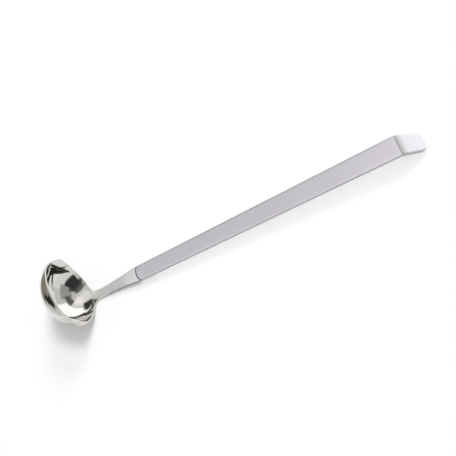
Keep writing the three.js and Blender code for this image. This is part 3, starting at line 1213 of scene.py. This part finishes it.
@dataclass(frozen=True)
class Tent:
    """The light tent round the table: white cloth, a bright side, and the dark gaps a mirror shows."""

    plain: float = 0.56
    low: float = 0.25
    wall: float = 0.75
    patches: tuple[TentPatch, ...] = (
        TentPatch(285, 8, 60, 34, 0.92, soft=8),
        TentPatch(290, 84, 82, 10, 0.19, soft=6),
        TentPatch(112, 69, 34, 14, 1.0, soft=6),
        TentPatch(68, 62, 24, 14, 1.25, "#fdfbfe", soft=12),
        TentPatch(60, 12, 33, 27, 1.5),
        TentPatch(350, 46, 24, 20, 0.42),
        TentPatch(27, 50, 21, 10, 0.15, soft=5),
        TentPatch(296, 69, 51, 11, 0.08, soft=6),
        TentPatch(299, 57, 28, 18, 0.045, soft=5),
        TentPatch(103, 41, 14, 12, 0.05),
        TentPatch(178, 26, 30, 14, 0.45, soft=12),
        TentPatch(140, -6, 24, 22, 0.31, "#f2f0dc"),
        TentPatch(180, 8, 14, 12, 0.03, soft=5),
        TentPatch(168, -3, 9, 8, 0.03, soft=3),
        TentPatch(309, 13, 30, 26, 0.03, soft=8, after_mirrors=2),
    )

    @property
    def overhead(self) -> float:
        """Share of the plain level overhead, at which a table gets as much as under an even tent."""
        return 1.5 - self.low / 2

    def build(self) -> bpy.types.World:
        """Makes the world: the tent for light and mirrors, plain white behind for the camera.

        Returns:
            The scene's world.
        """
        made = bpy.data.worlds.new("light_tent")
        bpy.context.scene.world = made
        made.use_nodes = True
        tree = made.node_tree
        toward = add_node(tree, "TexCoord").outputs["Generated"]
        axes = add_node(tree, "SeparateXYZ", Vector=toward)
        azimuth = add_node(
            tree, "Math", {"operation": "ARCTAN2"}, at_0=axes.outputs["Y"], at_1=axes.outputs["X"]
        ).outputs["Value"]
        elevation = add_node(tree, "Math", {"operation": "ARCSINE"}, at_0=axes.outputs["Z"]).outputs["Value"]
        colour = (self.wall, self.wall, self.wall, 1.0)
        for patch in self.patches:
            colour = self.laid_over(tree, colour, patch, azimuth, elevation)
        path = add_node(tree, "LightPath")
        level = add_node(
            tree,
            "MapRange",
            Value=axes.outputs["Z"],
            To_Min=self.plain * self.low,
            To_Max=self.plain * self.overhead,
        ).outputs["Result"]
        light = add_node(
            tree, "Mix", COLOURS, Factor=path.outputs["Is Glossy Ray"], at_6=level, at_7=colour
        )
        seen = add_node(
            tree,
            "Mix",
            COLOURS,
            Factor=path.outputs["Is Camera Ray"],
            at_6=light.outputs[2],
            at_7=(1, 1, 1, 1),
        )
        tree.links.new(seen.outputs[2], tree.nodes["Background"].inputs["Color"])
        return made

    def laid_over(
        self,
        tree: bpy.types.NodeTree,
        under: bpy.types.NodeSocket | tuple[float, float, float, float],
        patch: TentPatch,
        azimuth: bpy.types.NodeSocket,
        elevation: bpy.types.NodeSocket,
    ) -> bpy.types.NodeSocket:
        """Lays one patch over the colours so far.

        Args:
            tree: the world's tree.
            under: the colour so far.
            patch: the patch to add.
            azimuth: the ray's direction round the table.
            elevation: the ray's height over the table.

        Returns:
            The colour with the patch.
        """
        round_from = add_node(
            tree, "Math", {"operation": "SUBTRACT"}, at_0=azimuth, at_1=math.radians(patch.azimuth)
        )
        turned = add_node(
            tree,
            "Math",
            {"operation": "WRAP"},
            at_0=round_from.outputs["Value"],
            at_1=math.pi,
            at_2=-math.pi,
        )
        up_from = add_node(
            tree, "Math", {"operation": "SUBTRACT"}, at_0=elevation, at_1=math.radians(patch.elevation)
        )
        shares = []
        for offset, half in ((turned, patch.half_width), (up_from, patch.half_height)):
            away = add_node(tree, "Math", {"operation": "ABSOLUTE"}, at_0=offset.outputs["Value"])
            shares.append(
                add_node(
                    tree,
                    "MapRange",
                    EASED,
                    Value=away.outputs["Value"],
                    From_Min=math.radians(half + patch.soft),
                    From_Max=math.radians(half - patch.soft),
                ).outputs["Result"]
            )
        both = add_node(tree, "Math", {"operation": "MULTIPLY"}, at_0=shares[0], at_1=shares[1])
        if patch.after_mirrors > 1:
            depth = add_node(tree, "LightPath").outputs["Glossy Depth"]
            deep = add_node(
                tree, "Math", {"operation": "GREATER_THAN"}, at_0=depth, at_1=patch.after_mirrors - 0.5
            )
            both = add_node(
                tree,
                "Math",
                {"operation": "MULTIPLY"},
                at_0=both.outputs["Value"],
                at_1=deep.outputs["Value"],
            )
        red, green, blue, _ = linear(patch.colour)
        tint = (red * patch.strength, green * patch.strength, blue * patch.strength, 1.0)
        return add_node(
            tree, "Mix", COLOURS, Factor=both.outputs["Value"], at_6=under, at_7=tint
        ).outputs[2]


@dataclass(frozen=True)
class FarLamp:
    """A far, broad lamp that throws a shadow and is not itself seen in the steel."""

    name: str
    toward: Vector
    level: float
    breadth: float = math.radians(22)

    def build(self, shading: bpy.types.Object | None = None) -> bpy.types.Object:
        """Makes the lamp and turns it to the table.

        Args:
            shading: the one piece that stands in the lamp's way, where not every piece does.

        Returns:
            The lamp.
        """
        data = bpy.data.lights.new(self.name, "SUN")
        data.energy = self.level
        data.angle = self.breadth
        made = bpy.data.objects.new(self.name, data)
        made.matrix_world = self.toward.to_track_quat("Z", "Y").to_matrix().to_4x4()
        made.visible_glossy = False
        if shading is not None:
            blockers = bpy.data.collections.new(self.name + "_blockers")
            blockers.objects.link(shading)
            made.light_linking.blocker_collection = blockers
        bpy.context.scene.collection.objects.link(made)
        return made


@dataclass(frozen=True)
class Camera:
    """The photograph's viewpoint. Lengths in metres, lens in millimetres."""

    azimuth: float = math.radians(12.713)
    from_above: float = math.radians(33.436)
    roll: float = math.radians(-36.05)
    aim: Vector = Vector((-0.00596, 0.004597, 0))
    distance: float = 0.9
    lens: float = 103.592
    sensor: float = 36.0

    def build(self) -> bpy.types.Object:
        """Makes the camera and hands it to the scene.

        Returns:
            The camera.
        """
        data = bpy.data.cameras.new("camera")
        data.lens = self.lens
        data.sensor_width = self.sensor
        made = bpy.data.objects.new("camera", data)
        turn = Matrix.Rotation(self.azimuth, 4, "Z") @ Matrix.Rotation(self.from_above, 4, "X")
        back = Matrix.Translation((0, 0, self.distance))
        made.matrix_world = Matrix.Translation(self.aim) @ turn @ back @ Matrix.Rotation(self.roll, 4, "Z")
        bpy.context.scene.collection.objects.link(made)
        bpy.context.scene.camera = made
        return made


def dress(piece: bpy.types.Object, material: bpy.types.Material) -> None:
    """Gives a piece one material and no other."""
    piece.data.materials.clear()
    piece.data.materials.append(material)


def main() -> None:
    """Builds the ladle on its table and reports each piece."""
    logging.basicConfig(level=logging.INFO, format="%(name)s: %(message)s")
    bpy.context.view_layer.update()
    place = rest_place(frame["record"])
    joint = Joint()
    bowl = Stamping(joint, place).build()
    bar = BarHandle(joint, place).build()
    dress(bowl, PolishedSteel().material(place, joint))
    dress(bar, SatinSteel().material(place, joint))
    for piece, node, slot in ((bowl, "bowl_and_neck", Slot.POLISHED), (bar, "handle_bar", Slot.SATIN)):
        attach(piece, "root")
        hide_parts(node)
        LOG.info("%s: %d faces in place of %s", piece.name, len(piece.data.polygons), node)
    weld = WeldMetal().material()
    for name, node in frame["nodes"].items():
        if name.startswith("tang_weld"):
            dress(node, weld)
            LOG.info("%s: its own solid, finished as %s", name, Slot.WELD.value)
    PaintedTable().build()
    Tent().build()
    FarLamp("overhead_lamp", toward=Vector((0.27, 0.2, 0.94)), level=1.12).build(shading=bowl)
    FarLamp("rear_lamp", toward=Vector((0.39, 0.68, 0.62)), level=0.57).build()
    Camera().build()
    bpy.context.scene.view_settings.view_transform = "Standard"


if __name__ == "__main__":
    main()
